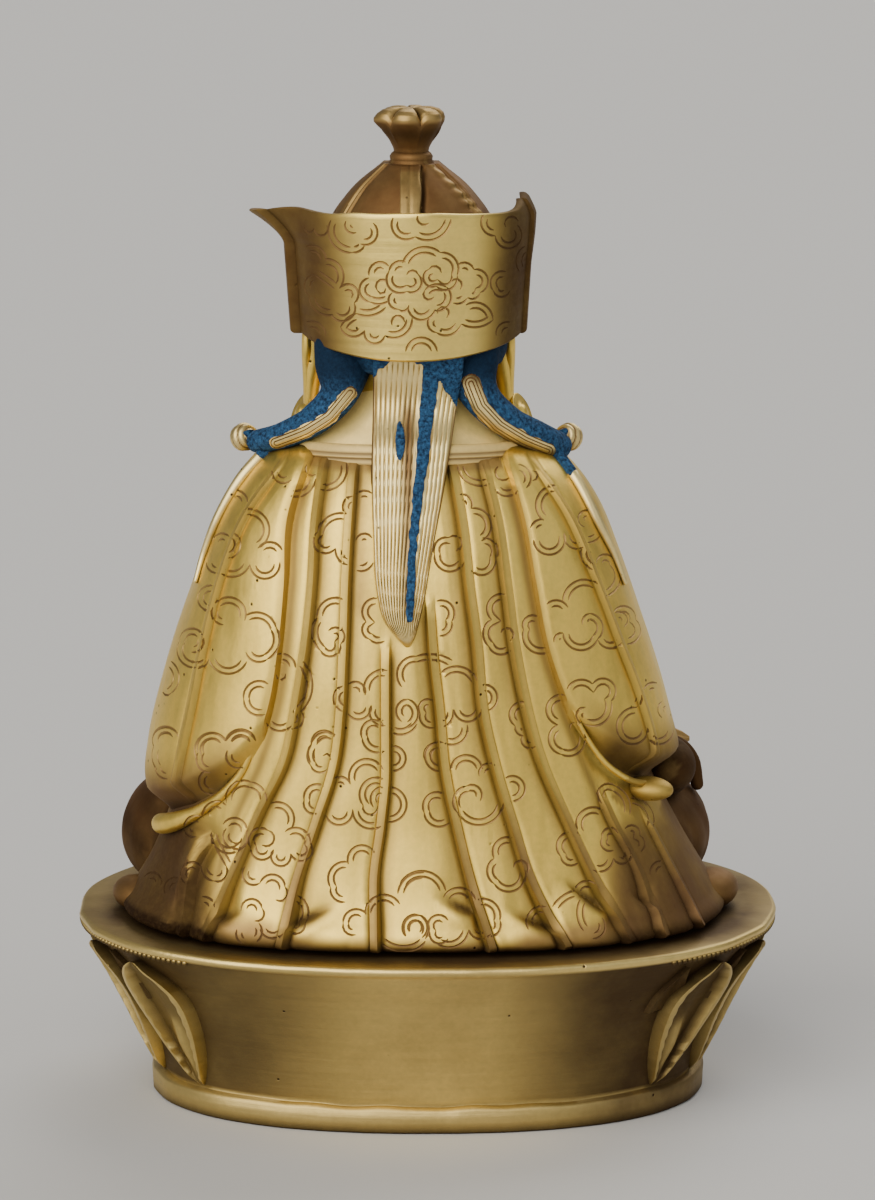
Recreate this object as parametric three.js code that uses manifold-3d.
// A seated Padmasambhava in gilt copper alloy, on its own cast lotus base.
// Millimetres, +Z up, the figure faces -Y. The origin lies in the middle of the base's underside.
// Two castings: the figure with its hat, hair and robes, and the lotus base that it sits on.

import * as THREE from 'three';
import { mergeVertices } from 'three/addons/utils/BufferGeometryUtils.js';
import Module from 'manifold-3d';

const wasm = await Module();
wasm.setup();

// Driving dimensions of the whole
const TOTAL_HEIGHT = 200;
const BASE_HEIGHT = 38;
const BASE_HALF_WIDTH = 70.5;
const BASE_HALF_DEPTH = 51.5;
const FOOT_HALF_WIDTH = 56;
const FOOT_HALF_DEPTH = 37;
const FOOT_HEIGHT = 5.5;
const PETAL_COUNT = 15;
const PLAIN_BACK_HALF_WIDTH = 46.5;

// Driving dimensions of the figure
const SPINE_X = 3.1; // the body sits a little to one side of the base's middle
const BODY_Y = 6; // depth of the body's axis
const HEM_X = 0.7; // middle of the spread hem
const EYE_Z = 153.6;
const EYE_X = 6.6;
const MOUTH_Z = 143.4;
const HAT_RADIUS = 22;
const HAT_TOP_RADIUS = 23.6;
const HAT_TOP_Z = 181.3;
const HAT_FRONT_DROP = 11; // the brim is this much lower at the front
const BRIM_WALL = 1.5;

// Robe under the sleeves: height, half width, depth of back, depth of front
const ROBE = [
  [38, 59, 43.2, -35],
  [40.5, 60.4, 44.2, -36],
  [44, 58, 43.4, -36],
  [49, 55, 42.2, -34],
  [55, 52, 41.2, -29],
  [62, 49, 40.4, -24],
  [70, 46, 40, -20],
  [80.6, 44, 39.5, -17],
  [91, 42, 39, -16],
  [101, 39.5, 38.2, -15],
  [111, 36.5, 36.8, -14],
  [121.5, 32.5, 34, -12],
  [128, 28.5, 31, -10],
  [131.5, 25.5, 28.5, -8],
  [134, 22, 26, -6],
  [136.5, 17, 22, -3],
];

// Hanging sleeves, which give the figure its outline: same columns
const SLEEVES = [
  [54, 54, 40.6, -21],
  [66, 54.2, 40.4, -22],
  [73, 53, 40, -22],
  [82, 50.9, 39.5, -21],
  [91, 48.3, 39, -20],
  [101, 45, 38.3, -19],
  [112, 41.1, 36.8, -17],
  [121.5, 37.3, 34.2, -14.5],
  [127.2, 33.6, 31.6, -12],
  [131, 30, 29.2, -9],
  [133.5, 26.5, 27, -7],
  [136, 20, 24, -3],
];

// Pleats of the back, from the figure's left to its right. Each has its distance from the spine
// at the heights of PLEAT_Z, and the height above which it fades out.
const PLEAT_Z = [40, 52, 64, 75, 86, 98, 110, 122, 133];
const PLEATS = [
  { at: [45.6, 43, 36.5, 33, 30, 28, 27, 25, 21], top: 60 },
  { at: [40.6, 35, 30, 24.8, 22.5, 20.5, 19.3, 18.6, 17], top: 200 },
  { at: [25.2, 22.3, 18.3, 15, 13.6, 13, 12.6, 11.9, 11.1], top: 200 },
  { at: [7, 7.2, 5.8, 4.9, 4.9, 4.9, 4.9, 4.9, 4.9], top: 101 },
  { at: [-15.7, -11.8, -8.8, -6.6, -5.6, -4.3, -3.6, -3.4, -3.2], top: 109 },
  { at: [-30, -23.6, -19.6, -16.4, -14, -12.9, -11.3, -10, -7.9], top: 200 },
  { at: [-42.8, -36, -30.2, -25.5, -22.4, -20.1, -18.5, -16.8, -14], top: 200 },
  { at: [-49.6, -44.8, -38.6, -35, -32, -29, -27, -25, -20.5], top: 70 },
  { at: [-57, -51, -45, -40, -37, -34, -31, -28, -22.5], top: 64 },
];
const PLEAT_CREST = 0.75;
const PLEAT_GROOVE = 0.5;
const PANEL_CROWN = 0.55;

// Where each sleeve leaves the back, in the same manner, and the broad band down each sleeve
const SLEEVE_EDGE = {
  1: [38, 38, 37, 31.6, 27.7, 25.7, 24.7, 24.1, 20.5],
  '-1': [42, 42, 41, 36, 30.9, 26.7, 24.3, 22.1, 18.8],
};
const SLEEVE_BAND = {
  1: [48, 47.6, 47.1, 45.3, 43, 40.4, 37.1, 32, 24],
  '-1': [49, 49, 48.6, 48, 45, 40.5, 35.7, 30.5, 23],
};

// Small helpers for numbers

function mix(a, b, t) {
  return a + (b - a) * t;
}

function smooth(t) {
  const s = Math.min(1, Math.max(0, t));
  return s * s * (3 - 2 * s);
}

function bump(distance, width) {
  return Math.exp(-(distance * distance) / (2 * width * width));
}

// Value of column k of a table whose first column rises, read at z
function read(table, z, k) {
  const last = table.length - 1;
  if (z <= table[0][0]) return table[0][k];
  if (z >= table[last][0]) return table[last][k];
  let i = 0;
  while (z > table[i + 1][0]) i += 1;
  return mix(table[i][k], table[i + 1][k], (z - table[i][0]) / (table[i + 1][0] - table[i][0]));
}

function readPleat(values, z) {
  return read(PLEAT_Z.map((height, i) => [height, values[i]]), z, 1);
}

// The body's axis leans from the hem's middle to the spine
function axisX(z) {
  return mix(HEM_X, SPINE_X, smooth((z - 45) / 35));
}

// Shapes from rows of points

// A closed body from rows of rings. A looped body joins its last row to its first.
function skin(rows, looped = false) {
  const wide = rows[0].length;
  const points = rows.flat();
  const faces = [];
  const strips = looped ? rows.length : rows.length - 1;
  for (let i = 0; i < strips; i += 1) {
    const below = i * wide;
    const above = ((i + 1) % rows.length) * wide;
    for (let j = 0; j < wide; j += 1) {
      const k = (j + 1) % wide;
      faces.push([below + j, below + k, above + k], [below + j, above + k, above + j]);
    }
  }
  if (!looped) {
    for (const [row, turned] of [[rows[0], true], [rows[rows.length - 1], false]]) {
      const start = turned ? 0 : (rows.length - 1) * wide;
      const middle = [0, 1, 2].map((a) => row.reduce((sum, p) => sum + p[a], 0) / wide);
      points.push(middle);
      for (let j = 0; j < wide; j += 1) {
        const k = (j + 1) % wide;
        const tip = points.length - 1;
        faces.push(turned ? [start + k, start + j, tip] : [start + j, start + k, tip]);
      }
    }
  }
  return outward(points, faces);
}

// A geometry whose faces all point out, whichever way round the rows ran
function outward(points, faces) {
  const volume = faces.reduce((sum, [a, b, c]) => {
    const [p, q, r] = [points[a], points[b], points[c]];
    return sum + p[0] * (q[1] * r[2] - q[2] * r[1])
      - p[1] * (q[0] * r[2] - q[2] * r[0])
      + p[2] * (q[0] * r[1] - q[1] * r[0]);
  }, 0);
  const geometry = new THREE.BufferGeometry();
  geometry.setAttribute('position', new THREE.Float32BufferAttribute(points.flat(), 3));
  geometry.setIndex(faces.flatMap((f) => (volume > 0 ? f : [f[0], f[2], f[1]])));
  return geometry;
}

// A rod of changing radius along a smooth path. Each knot is [x, y, z, radius], or
// [x, y, z, radius, flatness] where the section is flattened along `flat`.
function rod(knots, steps, sides, flat = [0, 0, 1]) {
  const path = new THREE.CatmullRomCurve3(knots.map((k) => new THREE.Vector3(k[0], k[1], k[2])));
  const towards = new THREE.Vector3(...flat).normalize();
  const rows = [];
  for (let i = 0; i <= steps; i += 1) {
    const t = i / steps;
    const place = path.getPoint(t);
    const along = path.getTangent(t);
    const knot = t * (knots.length - 1);
    const k = Math.min(knots.length - 2, Math.floor(knot));
    const radius = mix(knots[k][3], knots[k + 1][3], knot - k);
    const thin = mix(knots[k][4] ?? 1, knots[k + 1][4] ?? 1, knot - k);
    const side = new THREE.Vector3().crossVectors(towards, along).normalize();
    const up = new THREE.Vector3().crossVectors(along, side).normalize();
    const ring = [];
    for (let j = 0; j < sides; j += 1) {
      const turn = (2 * Math.PI * j) / sides;
      const point = place.clone();
      point.addScaledVector(side, radius * Math.cos(turn));
      point.addScaledVector(up, radius * thin * Math.sin(turn));
      ring.push(point.toArray());
    }
    rows.push(ring);
  }
  return skin(rows);
}

function ball(centre, radii, turn = [0, 0, 0], wide = 14, high = 9) {
  const geometry = new THREE.SphereGeometry(1, wide, high);
  geometry.scale(...radii);
  const place = new THREE.Matrix4().makeRotationFromEuler(new THREE.Euler(...turn));
  place.setPosition(...centre);
  return geometry.applyMatrix4(place);
}

function box(centre, size) {
  return new THREE.BoxGeometry(...size).translate(...centre);
}

// Joining closed bodies

function solid(geometry) {
  const bare = geometry.clone();
  bare.deleteAttribute('normal');
  bare.deleteAttribute('uv');
  const merged = mergeVertices(bare, 1e-4);
  return new wasm.Manifold(new wasm.Mesh({
    numProp: 3,
    vertProperties: new Float32Array(merged.attributes.position.array),
    triVerts: new Uint32Array(merged.index.array),
  }));
}

function joined(geometries) {
  return geometries.map(solid).reduce((whole, next) => whole.add(next));
}

function geometryOf(body) {
  const mesh = body.getMesh();
  const geometry = new THREE.BufferGeometry();
  geometry.setAttribute('position', new THREE.BufferAttribute(mesh.vertProperties, 3));
  geometry.setIndex(new THREE.BufferAttribute(mesh.triVerts, 1));
  return geometry;
}

// The robe and sleeves share one way of finding a point: an oval round the body's axis, wider
// than deep, whose size is read from a table at each height.

// Distance from the axis to the cloth in the direction phi, 0 at the back and 90 at the left
function reach(table, phi, z) {
  const halfWidth = read(table, z, 1);
  const depth = Math.cos(phi) > 0 ? read(table, z, 2) - BODY_Y : BODY_Y - read(table, z, 3);
  const power = Math.cos(phi) > 0 ? 2.4 : 2.2;
  const across = (Math.abs(Math.sin(phi)) / halfWidth) ** power;
  return (across + (Math.abs(Math.cos(phi)) / depth) ** power) ** (-1 / power);
}

// Direction in which the back of the cloth lies at a distance x from the spine
function phiAt(table, x, z) {
  const halfWidth = read(table, z, 1);
  const local = SPINE_X + x - axisX(z);
  const part = Math.min(0.985, Math.abs(local / halfWidth));
  const y = (read(table, z, 2) - BODY_Y) * (1 - part ** 2.4) ** (1 / 2.4);
  return Math.atan2(Math.sign(local) * part * halfWidth, y);
}

function clothPoint(table, phi, z, lift) {
  const r = reach(table, phi, z) + lift;
  return [axisX(z) + r * Math.sin(phi), BODY_Y + r * Math.cos(phi), z];
}

// One level of the robe: columns stand on both sides of every pleat, so its crest stays sharp
function robeRow(z, inset) {
  const ring = [];
  const lines = PLEATS.map((pleat) => ({
    phi: phiAt(ROBE, readPleat(pleat.at, z), z),
    strength: smooth((pleat.top - z) / 6) * smooth((z - 36) / 4),
  }));
  const start = lines[0].phi;
  const end = lines[lines.length - 1].phi;
  const frontSteps = 9;
  const front = (2 * Math.PI - (start - end)) / frontSteps;
  for (let i = frontSteps - 1; i >= 1; i -= 1) {
    ring.push(clothPoint(ROBE, start + i * front, z, -inset));
  }
  lines.forEach((line, i) => {
    const turn = 1 / reach(ROBE, line.phi, z);
    const side = i < 4 ? 1 : -1;
    const profile = [[-1.1, 0.1], [0, PLEAT_CREST], [1, -PLEAT_GROOVE], [2.1, 0]];
    const laid = side > 0 ? [...profile].reverse() : profile;
    for (const [away, lift] of laid) {
      const phi = line.phi + side * away * turn;
      ring.push(clothPoint(ROBE, phi, z, line.strength * lift - inset));
    }
    if (i < lines.length - 1) {
      const half = (line.phi + lines[i + 1].phi) / 2;
      const room = (line.phi - lines[i + 1].phi) / turn;
      const crown = PANEL_CROWN * smooth((room - 4) / 8) * line.strength;
      ring.push(clothPoint(ROBE, half, z, crown - inset));
    }
  });
  return ring;
}

function robe() {
  const underside = [[37.5, 4], [39.1, 3.4], [39, 1]];
  const heights = [40.2, 44, 49, 55, 61, 67, 75, 86, 98, 110, 121, 128, 133, 136];
  const levels = [...underside, ...heights.map((z) => [z, 0])];
  return skin(levels.map(([z, inset]) => robeRow(z, inset)));
}

// Height of a sleeve's lower edge, a quarter of the way along at the back to the front
function sleeveFoot(side, s) {
  const back = side > 0 ? 77 : 80;
  const outer = side > 0 ? 58 : 63;
  return s < 0.5 ? mix(outer, back, (1 - 2 * s) ** 2) : mix(outer, outer + 6, smooth(2 * s - 1));
}

function sleevePoint(side, s, t, lift) {
  const z = mix(134.5, sleeveFoot(side, s), t);
  const edge = Math.abs(phiAt(SLEEVES, side * readPleat(SLEEVE_EDGE[side], z), z));
  const last = mix(2.68, 2.2, smooth(t));
  return clothPoint(SLEEVES, side * mix(edge, last, s), z, lift);
}

// Fraction of the way round the sleeve at which its raised band lies
function bandPlace(side, t) {
  const z = mix(134.5, sleeveFoot(side, 0.3), t);
  const edge = Math.abs(phiAt(SLEEVES, side * readPleat(SLEEVE_EDGE[side], z), z));
  const band = Math.abs(phiAt(SLEEVES, side * readPleat(SLEEVE_BAND[side], z), z));
  return (band - edge) / (mix(2.68, 2.2, smooth(t)) - edge);
}

function sleeve(side) {
  const rows = [];
  const levels = 10;
  for (let i = 0; i <= levels; i += 1) {
    const t = i / levels;
    const band = bandPlace(side, t);
    const strength = smooth((1 - t) * 8) * smooth(t * 8);
    const plan = [[0, 0.5], [band * 0.25, 0.6], [band * 0.6, 0.5], [band - 0.02, 0], [band, 0.7],
      [band + 0.035, 0.7], [band + 0.06, 0], [mix(band, 1, 0.32), 0.2], [mix(band, 1, 0.6), 0.3],
      [mix(band, 1, 0.82), 0.2], [1, 0]];
    const ring = plan.map(([s, lift]) => sleevePoint(side, s, t, lift * strength));
    for (const [s, part] of [[1, 0.6], [0.45, 0.4], [0, 0.72]]) {
      const outer = sleevePoint(side, s, t, 0);
      ring.push([mix(axisX(outer[2]), outer[0], part), mix(BODY_Y, outer[1], part), outer[2]]);
    }
    rows.push(ring);
  }
  return skin(rows);
}

// The rolled lip under each sleeve
function sleeveLip(side) {
  const knots = [];
  for (let i = 0; i <= 5; i += 1) {
    const s = mix(0.02, 0.66, i / 5);
    const [x, y, z] = sleevePoint(side, s, 1, -1);
    knots.push([x, y, z - 0.8, mix(0.8, 2.7, smooth(i / 3))]);
  }
  return rod(knots, 10, 6);
}

// Crossed legs under the robe, with the boots in front
function legs() {
  const parts = [];
  for (const side of [1, -1]) {
    const knee = side > 0 ? 50.2 : -45.3;
    parts.push(rod([
      [side * 24, 14, 48, 8], [side * 38, 2, 49.4, 12], [knee, -12, 49.6, 12.4],
      [knee - side * 2, -21, 49.2, 11.8], [side * 34, -29, 48.5, 11], [side * 16, -35, 48, 10],
      [-side * 2, -37, 46, 8.4],
    ], 11, 12));
  }
  parts.push(ball([2, -14, 50], [40, 24, 12], [0, 0, 0], 16, 6));
  parts.push(rod([
    [2, -38, 45.5, 6.5], [12, -42, 44.5, 5.4], [20, -44.5, 44.5, 3.6], [24, -45, 46, 1.6],
  ], 5, 7));
  parts.push(rod([
    [4, -37, 44, 6], [-8, -41, 43, 5], [-16, -43.5, 43, 3.4], [-19, -44, 44.2, 1.6],
  ], 5, 7));
  return parts;
}

// The two ends of the hem that spread on the base beyond the knees
function hemEnds() {
  return [
    ball([57.6, 7, 41.2], [4.8, 7.4, 3.3], [0, 0, 0.3], 9, 6),
    ball([-57, 5, 41.8], [5.8, 8.4, 4.2], [0, 0, -0.3], 9, 6),
  ];
}

// Inner robe: two crossed lapels and a sash
function chest() {
  const parts = [];
  for (const side of [1, -1]) {
    parts.push(rod([
      [SPINE_X + side * 10, 2, 137, 3, 0.6], [SPINE_X + side * 9, -8, 130, 3.2, 0.5],
      [SPINE_X + side * 4, -14, 118, 3.2, 0.5], [SPINE_X - side * 4, -17, 104, 3, 0.5],
      [SPINE_X - side * 9, -18, 92, 2.6, 0.5],
    ], 6, 6, [0, -1, 0]));
  }
  parts.push(rod([
    [-29, -7, 84.6, 2.6, 0.6], [-15, -16.4, 83.4, 3.4, 0.6], [SPINE_X, -19, 82.8, 3.6, 0.6],
    [21, -16.4, 83.4, 3.4, 0.6], [35, -7, 84.6, 2.6, 0.6],
  ], 6, 6, [0, -1, 0]));
  return parts;
}

// Right forearm over its knee with a vajra; left hand in the lap with a skull cup
function arms() {
  const parts = [];
  parts.push(rod([
    [-32, 4, 84, 7], [-39, -12, 75.5, 8.6], [-43, -23, 70.4, 6.6], [-43, -29, 69.4, 7.2],
  ], 5, 10));
  parts.push(rod([[-43, -28, 69, 4], [-43, -34, 67.5, 3.8], [-43, -38, 66.5, 3.4]], 2, 8));
  parts.push(ball([-43, -40, 65.4], [5.2, 5.4, 3.6], [0.35, 0, 0], 8, 6));
  for (let i = 0; i < 4; i += 1) {
    const x = -46.4 + i * 2.3;
    parts.push(rod([
      [x, -43, 66, 1.35], [x, -45.6, 64.6, 1.3], [x, -46.2, 61.6, 1.2], [x, -44, 59.6, 1],
    ], 3, 5, [1, 0, 0]));
  }
  parts.push(rod([[-39.6, -39, 66, 1.5], [-38, -42.6, 64.4, 1.4], [-38.6, -45, 62.4, 1.1]], 2, 5));
  parts.push(vajra([-43, -42.8, 61.6]));
  parts.push(rod([
    [-43, -6, 69.5, 1.9], [-50, -11, 68, 1.8], [-53.8, -12.6, 64.4, 1.6], [-55, -11, 59.5, 1.3],
  ], 5, 6));
  parts.push(rod([
    [36, 4, 82, 7], [35, -13, 74, 8.6], [25, -23.4, 70.6, 6.6], [18, -27.6, 70, 7.2],
  ], 5, 10));
  parts.push(rod([[18, -27, 69.4, 3.8], [12, -30, 68.6, 3.6], [8, -31.5, 68, 3.2]], 2, 8));
  parts.push(ball([3, -32.5, 67.6], [6.4, 5, 2.6], [0, 0, 0.3], 8, 6));
  for (let i = 0; i < 4; i += 1) {
    const y = -36.2 + i * 2.3;
    parts.push(rod([[-1, y, 67.4, 1.3], [-5, y - 0.6, 68.4, 1.25], [-7, y - 0.8, 70.8, 1]], 3, 5));
  }
  parts.push(skullCup([1, -32.6, 70]));
  return parts;
}

// A body turned on an axis. Its outline runs in rings, each [height, radius].
function turned(outline, sides, centre, lobes = 0, depth = 0) {
  return skin(outline.map(([height, radius]) => {
    const ring = [];
    for (let j = 0; j < sides; j += 1) {
      const turn = (2 * Math.PI * j) / sides;
      const r = radius * (1 + depth * Math.cos(lobes * turn));
      ring.push([centre[0] + r * Math.sin(turn), centre[1] + r * Math.cos(turn), centre[2] + height]);
    }
    return ring;
  }));
}

function vajra(centre) {
  const half = [[0, 1.9], [2, 1.3], [3.4, 3], [6.4, 3.5], [9, 2], [12, 0.4]];
  const outline = [...half.slice(1).reverse().map(([h, r]) => [-h, r]), ...half];
  const geometry = turned(outline, 8, [0, 0, 0], 4, 0.12);
  return geometry.rotateY(Math.PI / 2).translate(...centre);
}

function skullCup(centre) {
  const bowl = [[-2.6, 2.2], [-1, 4.8], [3, 6.3], [3.8, 6.4], [3.8, 5.2], [3.2, 3.2]];
  const vase = [[5, 3.8], [7.6, 2.6], [8.2, 1.5], [9.4, 2.1], [11.6, 0.5]];
  return turned([...bowl, ...vase], 10, centre);
}

// Head and face: an oval skull pushed in and out for brow, eyes, nose, lips and chin
const SKULL = [
  [134, 7, 13, -3],
  [136, 9, 14.5, -8.5],
  [138, 11.6, 16, -11.4],
  [141, 13.8, 17.6, -12.6],
  [145, 15.4, 19, -13.2],
  [150, 16.6, 20.6, -13.6],
  [156, 17.2, 21.6, -13.8],
  [162, 17.2, 21.6, -13.4],
  [168, 15.8, 20, -11.6],
  [173, 12, 16, -8],
];

// How far the face stands out: eyes halfway up the head, mouth a third of the way below the nose
function faceLift(x, z) {
  const side = Math.abs(x);
  const nose = 3.2 * bump(x, 1.5) * smooth((158 - z) / 9) * smooth((z - 146.9) / 1.5);
  const tip = 1.1 * bump(x, 1.9) * bump(z - 148.6, 1.3);
  const wings = 1.1 * bump(side - 2.2, 0.9) * bump(z - 148.2, 1);
  const brow = 0.8 * bump(side - EYE_X, 4) * bump(z - EYE_Z - 4.1, 1.1);
  const socket = -1.5 * bump(side - EYE_X, 3.2) * bump(z - EYE_Z - 0.4, 2.1);
  const lid = 1.2 * bump(side - EYE_X, 2.5) * bump(z - EYE_Z + 0.2, 1.1);
  const upper = 1.1 * bump(x, 2.9) * bump(z - MOUTH_Z - 0.9, 0.6);
  const lower = 1.3 * bump(x, 2.4) * bump(z - MOUTH_Z + 1, 0.75);
  const chin = 1.4 * bump(x, 3.2) * bump(z - 138.4, 1.7);
  const cheek = 0.9 * bump(side - 8, 3.6) * bump(z - 148, 3.4);
  return nose + tip + wings + brow + socket + lid + upper + lower + chin + cheek;
}

function head() {
  const heights = [134, 136, 138.4, 140.6, 142.4, 143.4, 144.4, 145.8, 147, 148.2, 149.6, 151.6,
    153.2, 154.4, 156, 157.8, 160, 165, 173];
  const columns = 30;
  return skin(heights.map((z) => {
    const ring = [];
    for (let j = 0; j < columns; j += 1) {
      const even = (2 * Math.PI * j) / columns;
      const phi = even + 0.46 * Math.sin(even); // more columns on the face
      const halfWidth = read(SKULL, z, 1);
      const middle = (read(SKULL, z, 2) + read(SKULL, z, 3)) / 2;
      const halfDepth = (read(SKULL, z, 2) - read(SKULL, z, 3)) / 2;
      const x = halfWidth * Math.sin(phi);
      const facing = smooth(-Math.cos(phi) * 1.6);
      const y = middle + halfDepth * Math.cos(phi) - facing * faceLift(x, z);
      ring.push([SPINE_X + x, y, z]);
    }
    return ring;
  }));
}

// Neck and the cloth that slopes from the nape to the shoulders
function nape() {
  const levels = [
    [126, 28, 25, -4], [131, 28.5, 26.5, -5], [134, 26.5, 26, -5], [136.2, 21.5, 24, -5],
    [139, 17.5, 22, -6], [143, 13.8, 20.5, -7], [148, 10.6, 19.4, -7], [153, 9.6, 19, -6],
  ];
  return skin(levels.map(([z, halfWidth, back, front]) => {
    const ring = [];
    for (let j = 0; j < 16; j += 1) {
      const phi = (2 * Math.PI * j) / 16;
      const y = (back + front) / 2 + ((back - front) / 2) * Math.cos(phi);
      ring.push([SPINE_X + halfWidth * Math.sin(phi), y, z]);
    }
    return ring;
  }));
}

function collar() {
  const rows = [];
  for (let i = 0; i < 24; i += 1) {
    const phi = (2 * Math.PI * i) / 24;
    const front = smooth(-Math.cos(phi) * 1.2);
    const z = mix(135.2, 131.6, front) - 1.6 * Math.sin(phi) ** 2;
    const ring = [];
    for (let j = 0; j < 6; j += 1) {
      const turn = (2 * Math.PI * j) / 6;
      const out = 1.3 * Math.cos(turn);
      const width = mix(25.4, 17, front) + out;
      const depth = (Math.cos(phi) > 0 ? 18.6 : 13.4) + out;
      ring.push([
        SPINE_X + width * Math.sin(phi), BODY_Y + depth * Math.cos(phi), z + 2.2 * Math.sin(turn),
      ]);
    }
    rows.push(ring);
  }
  return skin(rows, true);
}

// Hair: the cap under the hat, the long pointed lock down the back, and a lock over each shoulder
function hair() {
  const parts = [];
  const cap = [
    [144, 13, 20.4, 6], [147, 16.4, 21.6, 2], [151, 18.2, 23, 0], [156, 18.8, 24, -1],
    [161, 18.6, 23.6, -2], [166, 17, 22, -2],
  ];
  parts.push(skin(cap.map(([z, halfWidth, back, front]) => {
    const ring = [];
    for (let j = 0; j < 18; j += 1) {
      const phi = (2 * Math.PI * j) / 18;
      const y = (back + front) / 2 + ((back - front) / 2) * Math.cos(phi);
      ring.push([SPINE_X + halfWidth * Math.sin(phi), y, z]);
    }
    return ring;
  })));
  parts.push(backLock());
  for (const side of [1, -1]) {
    const out = side > 0 ? 1 : 0.94;
    parts.push(rod([
      [SPINE_X + side * 13, 15, 158, 6], [SPINE_X + side * 13.2, 17.4, 150.5, 5.8, 0.8],
      [SPINE_X + side * 16.6, 18.6, 143.8, 4.8, 0.7], [SPINE_X + side * 23.6, 16, 138.8, 3.4, 0.8],
      [SPINE_X + side * 30 * out, 9.5, 135.4, 2.5], [SPINE_X + side * 32.6 * out, 7.4, 134.6, 2],
    ], 8, 8, [0, 0.6, 0.8]));
    parts.push(ball([SPINE_X + side * 33 * out, 7.6, 134.4], [2.7, 2.7, 2.7], [0, 0, 0], 8, 6));
    parts.push(shoulderStrip(side));
  }
  return parts;
}

// Outline of the back lock: height, middle and half width, all from the spine
const BACK_LOCK = [
  [98.6, 0, 0.5],
  [100.5, 0, 2],
  [104, 0.4, 4],
  [109, 0.8, 5.7],
  [115, 0.9, 6.4],
  [125, 0.4, 7.1],
  [135, -0.3, 7.6],
  [145, -0.9, 8.3],
  [152, -1.4, 8.8],
  [158, -1.4, 8.8],
];

function backLock() {
  const rows = [98.6, 100.5, 104, 109, 116, 124, 130, 134, 137, 141, 148, 157];
  return skin(rows.map((z) => {
    const middle = read(BACK_LOCK, z, 1);
    const half = read(BACK_LOCK, z, 2);
    const ring = [];
    for (let j = 0; j < 10; j += 1) {
      const turn = (2 * Math.PI * j) / 10;
      const x = middle + half * Math.cos(turn);
      const raised = Math.sin(turn) > 0 ? 1.9 : -2.4;
      const y = lockDepth(x, z) + raised * Math.abs(Math.sin(turn)) ** 0.7;
      ring.push([SPINE_X + x, y, z]);
    }
    return ring;
  }));
}

// Depth of whatever the back lock lies on: the cap, the nape and then the robe
function lockDepth(x, z) {
  const head = mix(21.4, 23.4, smooth((z - 144) / 10));
  const low = Math.min(z, 134);
  const phi = phiAt(ROBE, x, low);
  const back = clothPoint(ROBE, phi, low, 0)[1];
  return z < 134 ? back : mix(back, head, smooth((z - 134) / 7));
}

// The thin gilt end of each side lock, which lies down the outside of the shoulder
function shoulderStrip(side) {
  const knots = [];
  const xs = side > 0 ? [28.5, 33, 37.5, 40.6, 42] : [27.4, 32, 36, 39.4, 41.5];
  const zs = [132.6, 127, 119.5, 112.5, 107];
  zs.forEach((z, i) => {
    const phi = phiAt(SLEEVES, side * xs[i], z);
    const [x, y] = clothPoint(SLEEVES, phi, z, 0.4);
    knots.push([x, y, z, mix(1.5, 0.5, i / 4)]);
  });
  return rod(knots, 6, 5);
}

// Long ears with disc earrings
function ears() {
  const parts = [];
  for (const side of [1, -1]) {
    const x = SPINE_X + side * 17.6;
    parts.push(rod([
      [x, 3.4, 160, 3.6, 0.55], [x + side * 1.4, 3.6, 155, 3.6, 0.55],
      [x + side * 1.9, 3.6, 149, 2.6, 0.7], [x + side * 2.2, 3.4, 144, 2.1, 0.8],
      [x + side * 2.4, 3.2, 140.6, 1.8, 0.8],
    ], 5, 7, [1, 0, 0]));
    const disc = turned([[-0.6, 3.4], [-0.2, 4], [0.3, 4], [0.7, 2.8]], 12, [0, 0, 0]);
    disc.rotateY(side * 1.15).rotateZ(side * 0.35);
    parts.push(disc.translate(SPINE_X + side * 21.8, 3, 138.6));
  }
  return parts;
}

// The lotus hat: an upturned brim with a spout on the left and a curl on the right. Its front is
// low, so that from behind only the back and the crown show.

function brimFoot(phi) {
  const back = Math.cos(phi);
  return back > 0 ? mix(156, 152.8, back ** 1.5) : mix(156, 163, smooth(-back));
}

function brimTop(phi) {
  const fromRight = phi + Math.PI / 2;
  const wave = 0.5 * Math.cos(3 * phi);
  const lowFront = HAT_FRONT_DROP * smooth((Math.abs(phi) - 1.6) / 0.7);
  return HAT_TOP_Z + wave + 2 * bump(fromRight, 0.24) - lowFront;
}

function brimRadius(phi, z) {
  const height = (z - brimFoot(phi)) / (brimTop(phi) - brimFoot(phi));
  const flare = Math.min(1.05, Math.max(0, (z - 173) / 7)) ** 1.5;
  const spout = 9.3 * bump(phi - 1.57, 0.2) * flare;
  const curl = 0.8 * bump(phi + 1.6, 0.2) * flare;
  const flap = Math.abs(phi) > 1.4 ? 0.8 : 0;
  return mix(HAT_RADIUS, HAT_TOP_RADIUS, height) + spout + curl + flap;
}

function brim() {
  const angles = [];
  for (let j = -16; j < 16; j += 1) {
    angles.push((Math.PI * j) / 16);
  }
  const extra = [1.395, 1.405, 1.65, -1.395, -1.405, -1.65];
  const around = [...angles, ...extra].sort((a, b) => a - b);
  const rows = [];
  for (const [part, wall] of [[0, 0], [0.7, 0], [0.82, 0], [0.92, 0], [1, 0], [1, BRIM_WALL],
    [0.88, BRIM_WALL], [0.7, BRIM_WALL], [0, BRIM_WALL]]) {
    rows.push(around.map((phi) => {
      const z = mix(brimFoot(phi), brimTop(phi), part);
      const r = brimRadius(phi, z) - wall;
      return [SPINE_X + r * Math.sin(phi), BODY_Y + r * Math.cos(phi), z];
    }));
  }
  return skin(rows, true);
}

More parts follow.
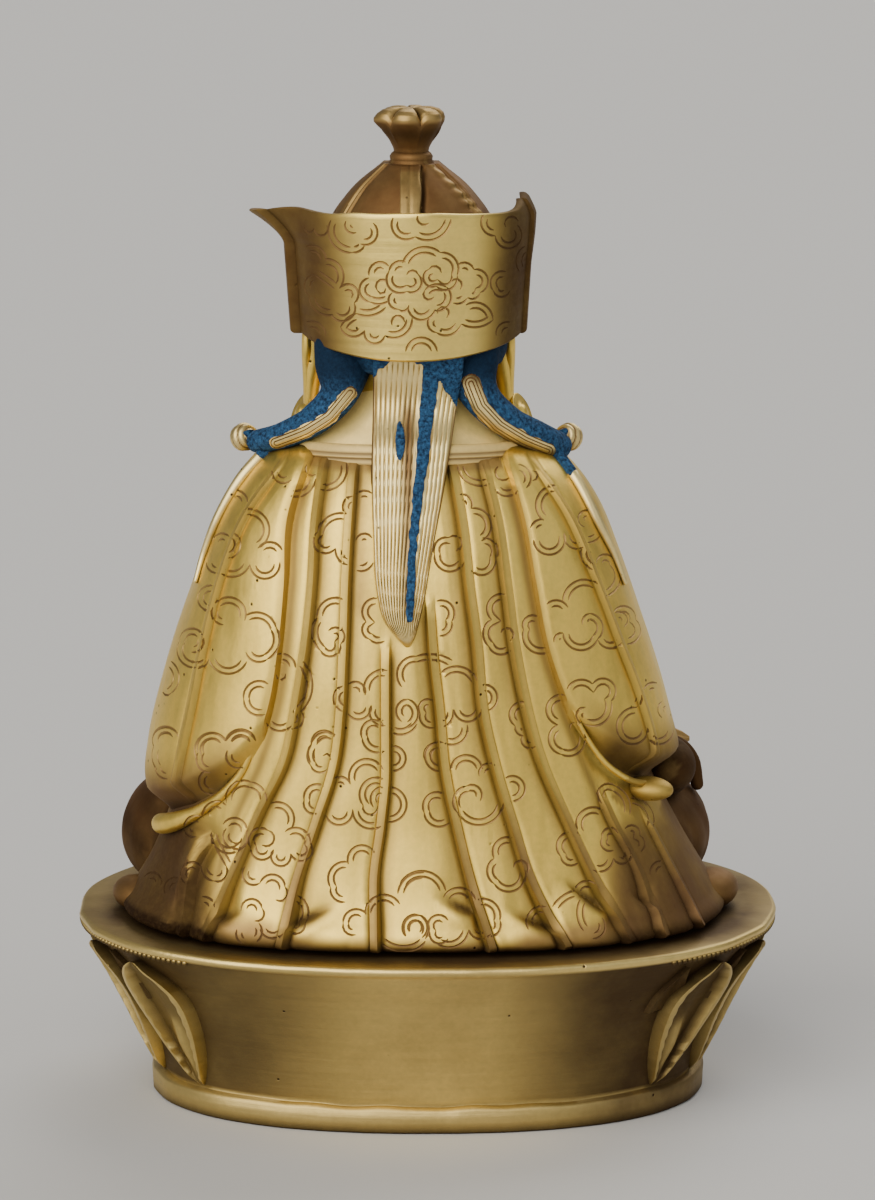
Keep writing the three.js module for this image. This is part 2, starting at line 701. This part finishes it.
function crown() {
  const outline = [[164, 21.6], [168, 21.4], [170, 19.4], [174, 17.4], [178.7, 15.3], [181.4, 13.4],
    [184.7, 10.5], [188.6, 5.6]];
  const rows = outline.map(([z, radius]) => {
    const ring = [];
    for (let j = 0; j < 36; j += 1) {
      const phi = (2 * Math.PI * j) / 36;
      const seam = z > 169 ? 0.45 * bump(Math.sin(3 * phi), 0.3) : 0;
      const r = radius + seam;
      ring.push([SPINE_X + r * Math.sin(phi), BODY_Y + r * Math.cos(phi), z]);
    }
    return ring;
  });
  return skin(rows);
}

function finial() {
  const centre = [SPINE_X, BODY_Y, 0];
  const collarRing = [[187.4, 4], [187.9, 4.4], [189.6, 4.2], [190.8, 3.4]];
  const bloom = [[190.4, 3.3], [191.4, 3.7], [195.6, 6], [197.2, 6.3], [198.4, 5.4], [199.4, 3.2],
    [TOTAL_HEIGHT, 1.4]];
  const lip = rod([
    [SPINE_X + 3, BODY_Y, 195.6, 1.6], [SPINE_X + 5.6, BODY_Y, 197, 1.2],
    [SPINE_X + 7, BODY_Y, 197.4, 0.4],
  ], 3, 5);
  return [turned(collarRing, 16, centre), turned(bloom, 24, centre, 6, 0.05), lip];
}

function figure() {
  const bodies = [
    robe(), sleeve(1), sleeve(-1), sleeveLip(1), sleeveLip(-1), ...legs(), ...hemEnds(), ...chest(),
    ...arms(), head(), nape(), collar(), ...hair(), ...ears(), brim(), crown(), ...finial(),
  ];
  const seat = box([0, 0, BASE_HEIGHT - 10], [200, 200, 20]);
  return joined(bodies).subtract(solid(seat));
}

// The base: an oval drum that flares from a plain foot to a wide rim
const PLAN_POWER = 2.25;

function planPoint(phi, halfWidth, halfDepth) {
  const across = (Math.abs(Math.sin(phi)) / halfWidth) ** PLAN_POWER;
  const r = (across + (Math.abs(Math.cos(phi)) / halfDepth) ** PLAN_POWER) ** (-1 / PLAN_POWER);
  return [r * Math.sin(phi), r * Math.cos(phi)];
}

// Wall of the base: height, half width, half depth
const WALL = [
  [FOOT_HEIGHT, 54.6, 35.8],
  [9, 55.4, 36.8],
  [15, 57.4, 38.9],
  [22, 60.4, 42],
  [29, 64, 45.6],
  [33.5, 67, 48.6],
  [35.6, 68.8, 50],
];

function drum() {
  const outline = [
    [0, FOOT_HALF_WIDTH, FOOT_HALF_DEPTH],
    [FOOT_HEIGHT - 0.8, FOOT_HALF_WIDTH + 0.3, FOOT_HALF_DEPTH + 0.3],
    [FOOT_HEIGHT, FOOT_HALF_WIDTH - 0.3, FOOT_HALF_DEPTH - 0.3],
    ...WALL.map(([z, w, d], i) => [i ? z : z + 0.1, w, d]),
    [36.2, BASE_HALF_WIDTH - 0.3, BASE_HALF_DEPTH - 0.3],
    [37, BASE_HALF_WIDTH, BASE_HALF_DEPTH],
    [37.7, BASE_HALF_WIDTH - 0.2, BASE_HALF_DEPTH - 0.2],
    [BASE_HEIGHT, BASE_HALF_WIDTH - 0.9, BASE_HALF_DEPTH - 0.9],
  ];
  return skin(outline.map(([z, w, d]) => {
    const ring = [];
    for (let j = 0; j < 48; j += 1) {
      ring.push([...planPoint((2 * Math.PI * j) / 48, w, d), z]);
    }
    return ring;
  }));
}

// A point on the wall, moved straight out by `lift`
function wallPoint(phi, z, lift) {
  const [x, y] = planPoint(phi, read(WALL, z, 1), read(WALL, z, 2));
  const length = Math.hypot(x / 1.7, y);
  return [x + (lift * x) / 1.7 / length, y + (lift * y) / length, z];
}

// One upright petal: a raised edge round a hollow, narrow at the foot and pointed at the top
function petal(phi, halfAngle) {
  const levels = [
    // height, share of the width, lift of the edge, lift of the hollow
    [6.6, 0.12, 0.8, 0.6], [11, 0.42, 2.2, 0.9], [18, 0.78, 2.9, 1], [24.5, 0.98, 3.2, 1],
    [28.5, 0.86, 3.2, 1.1], [31.4, 0.5, 3, 1.6], [33.4, 0.08, 1.8, 1.8],
  ];
  return skin(levels.map(([z, share, edge, hollow]) => {
    const row = [[-1, -1.2], [-0.9, edge], [-0.6, hollow], [0, hollow * 1.1], [0.6, hollow],
      [0.9, edge], [1, -1.2]];
    return row.map(([u, lift]) => wallPoint(phi + u * share * halfAngle, z, lift));
  }));
}

function lotusBase() {
  const first = Math.asin(PLAIN_BACK_HALF_WIDTH / BASE_HALF_WIDTH) + 0.24;
  const lengths = [];
  let total = 0;
  const steps = 400;
  for (let i = 0; i <= steps; i += 1) {
    const phi = mix(first, 2 * Math.PI - first, i / steps);
    const place = planPoint(phi, 62, 43.5);
    const before = lengths.length ? lengths[lengths.length - 1].place : place;
    total += Math.hypot(place[0] - before[0], place[1] - before[1]);
    lengths.push({ phi, place, total });
  }
  const pitch = total / PETAL_COUNT;
  const petals = [];
  for (let i = 0; i < PETAL_COUNT; i += 1) {
    const [from, middle, to] = [0.03, 0.5, 0.97].map(
      (part) => lengths.find((step) => step.total >= (i + part) * pitch).phi,
    );
    petals.push(petal(middle, (to - from) / 2));
  }
  return joined([drum(), ...petals]);
}

function part(name, body, colour, roughness) {
  const material = new THREE.MeshStandardMaterial({ color: colour, roughness, metalness: 0.95 });
  const mesh = new THREE.Mesh(geometryOf(body), material);
  mesh.name = name;
  return mesh;
}

const padmasambhava = new THREE.Group();
padmasambhava.add(part('figure', figure(), 0xc9a557, 0.34));
padmasambhava.add(part('lotus_base', lotusBase(), 0xa8884a, 0.42));

export default padmasambhava;
